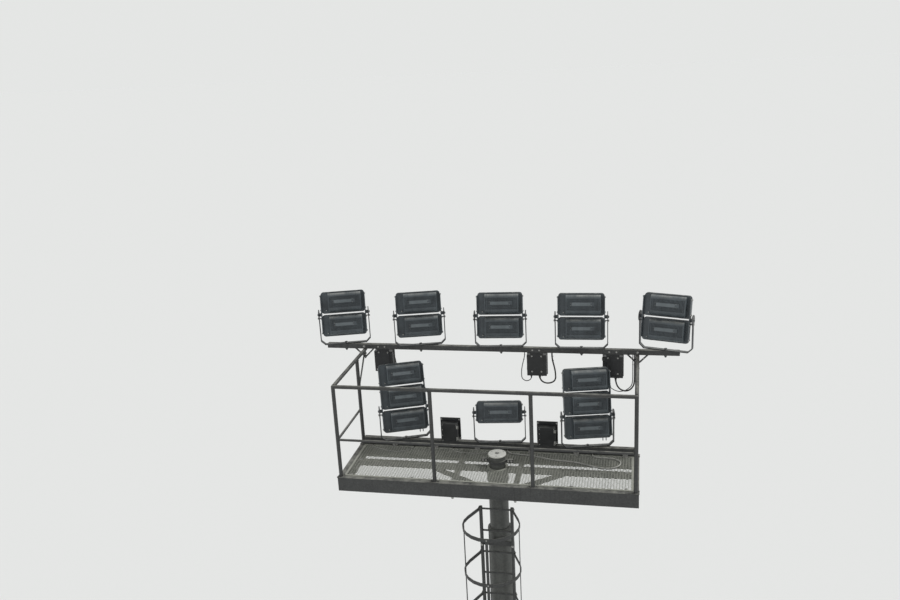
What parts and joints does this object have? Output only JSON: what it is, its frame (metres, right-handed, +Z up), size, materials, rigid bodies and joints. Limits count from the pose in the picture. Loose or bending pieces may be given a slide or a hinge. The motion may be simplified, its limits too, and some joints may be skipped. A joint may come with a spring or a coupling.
{
  "type": "stadium floodlight mast",
  "caption": "Tapered steel floodlight mast with a caged ladder, a service basket and LED floodlights on yokes that turn and tilt.",
  "frame": {"origin": "centre of the base flange's underside, where it stands on its foundation", "axes": "+Z up the column, +Y towards the pitch that the lamps light, +X to the right seen from behind"},
  "size_m": [4.3735, 1.9426, 27.497],
  "materials": {
    "column_steel": "hot-dip galvanised, weathered to a matt light grey",
    "ladder_steel": "hot-dip galvanised, weathered to a matt mid grey",
    "basket_steel": "hot-dip galvanised, weathered to a matt mid grey",
    "cap": "pale grey, weathered",
    "gear_box": "satin, nearly black powder coat",
    "cable": "black cable sheath, matt",
    "yoke_bar": "satin dark grey powder coat",
    "lamp_housing": "satin blue-grey powder coat on die-cast aluminium",
    "lamp_glass": "clear toughened glass"
  },
  "bodies": {
    "mast": {"base_plate": "column_steel", "column_lower": "column_steel", "column_middle": "column_steel", "column_upper": "column_steel", "cable_door": "column_steel", "neck_collar": "column_steel", "head_tube": "column_steel", "spigot_cap": "cap", "ladder_lower": "ladder_steel", "ladder_middle": "ladder_steel", "ladder_upper": "ladder_steel", "ladder_brackets": "ladder_steel", "cage_lower": "ladder_steel", "cage_middle": "ladder_steel", "cage_upper": "ladder_steel", "main_beam": "basket_steel", "knee_braces": "basket_steel", "floor_frame": "basket_steel", "floor_mesh": "basket_steel", "spigot_saddle": "basket_steel", "near_guardrail": "basket_steel", "side_guardrails": "basket_steel", "upper_arm": "basket_steel", "lower_arm": "basket_steel", "upper_gear_boxes": "gear_box", "lower_gear_boxes": "gear_box", "loop_cable": "cable", "loop_lead": "cable", "rail_cable": "cable", "rail_lead": "cable", "side_lead": "cable", "floor_cable": "cable", "floor_lead": "cable", "corner_lead": "cable"},
    "yoke_1": {"yoke_1": "yoke_bar"},
    "lamp_1": {"lamp_1": "lamp_housing", "glass_1": "lamp_glass"},
    "yoke_2": {"yoke_2": "yoke_bar"},
    "lamp_2": {"lamp_2": "lamp_housing", "glass_2": "lamp_glass"},
    "yoke_3": {"yoke_3": "yoke_bar"},
    "lamp_3": {"lamp_3": "lamp_housing", "glass_3": "lamp_glass"},
    "yoke_4": {"yoke_4": "yoke_bar"},
    "lamp_4": {"lamp_4": "lamp_housing", "glass_4": "lamp_glass"},
    "yoke_5": {"yoke_5": "yoke_bar"},
    "lamp_5": {"lamp_5": "lamp_housing", "glass_5": "lamp_glass"},
    "yoke_6": {"yoke_6": "yoke_bar"},
    "lamp_6": {"lamp_6": "lamp_housing", "glass_6": "lamp_glass"},
    "yoke_7": {"yoke_7": "yoke_bar"},
    "lamp_7": {"lamp_7": "lamp_housing", "glass_7": "lamp_glass"},
    "yoke_8": {"yoke_8": "yoke_bar"},
    "lamp_8": {"lamp_8": "lamp_housing", "glass_8": "lamp_glass"}
  },
  "joints": [
    {"name": "pan_1", "type": "hinge", "parent": "mast", "child": "yoke_1", "pos_m": [-1.932, 0.757, 26.8576], "axis": [0, 0, 1], "range_deg": [-30, 30]},
    {"name": "tilt_1", "type": "hinge", "parent": "yoke_1", "child": "lamp_1", "pos_m": [-1.932, 0.757, 27.2376], "axis": [0.9563, 0.2924, 0], "range_deg": [-15, 15]},
    {"name": "pan_2", "type": "hinge", "parent": "mast", "child": "yoke_2", "pos_m": [-1.001, 0.757, 26.8576], "axis": [0, 0, 1], "range_deg": [-30, 30]},
    {"name": "tilt_2", "type": "hinge", "parent": "yoke_2", "child": "lamp_2", "pos_m": [-1.001, 0.757, 27.2376], "axis": [0.9659, 0.2588, 0], "range_deg": [-15, 15]},
    {"name": "pan_3", "type": "hinge", "parent": "mast", "child": "yoke_3", "pos_m": [-0.036, 0.757, 26.8576], "axis": [0, 0, 1], "range_deg": [-30, 30]},
    {"name": "tilt_3", "type": "hinge", "parent": "yoke_3", "child": "lamp_3", "pos_m": [-0.036, 0.757, 27.2376], "axis": [0.9962, 0.0872, 0], "range_deg": [-15, 15]},
    {"name": "pan_4", "type": "hinge", "parent": "mast", "child": "yoke_4", "pos_m": [0.895, 0.757, 26.8576], "axis": [0, 0, 1], "range_deg": [-30, 30]},
    {"name": "tilt_4", "type": "hinge", "parent": "yoke_4", "child": "lamp_4", "pos_m": [0.895, 0.757, 27.2376], "axis": [0.9994, 0.0349, 0], "range_deg": [-15, 15]},
    {"name": "pan_5", "type": "hinge", "parent": "mast", "child": "yoke_5", "pos_m": [1.831, 0.757, 26.8576], "axis": [0, 0, 1], "range_deg": [-30, 30]},
    {"name": "tilt_5", "type": "hinge", "parent": "yoke_5", "child": "lamp_5", "pos_m": [1.831, 0.757, 27.2376], "axis": [0.9613, -0.2756, 0], "range_deg": [-15, 15]},
    {"name": "pan_6", "type": "hinge", "parent": "mast", "child": "yoke_6", "pos_m": [-1.164, 0.425, 25.7923], "axis": [0, 0, 1], "range_deg": [-30, 30]},
    {"name": "tilt_6", "type": "hinge", "parent": "yoke_6", "child": "lamp_6", "pos_m": [-1.164, 0.425, 26.1723], "axis": [0.9272, 0.3746, 0], "range_deg": [-15, 15]},
    {"name": "pan_7", "type": "hinge", "parent": "mast", "child": "yoke_7", "pos_m": [-0.031, 0.425, 25.7923], "axis": [0, 0, 1], "range_deg": [-30, 30]},
    {"name": "tilt_7", "type": "hinge", "parent": "yoke_7", "child": "lamp_7", "pos_m": [-0.031, 0.425, 26.1723], "axis": [0.9925, 0.1219, 0], "range_deg": [-15, 15]},
    {"name": "pan_8", "type": "hinge", "parent": "mast", "child": "yoke_8", "pos_m": [0.978, 0.425, 25.7923], "axis": [0, 0, 1], "range_deg": [-30, 30]},
    {"name": "tilt_8", "type": "hinge", "parent": "yoke_8", "child": "lamp_8", "pos_m": [0.978, 0.425, 26.1723], "axis": [0.9744, 0.225, 0], "range_deg": [-15, 15]}
  ]
}
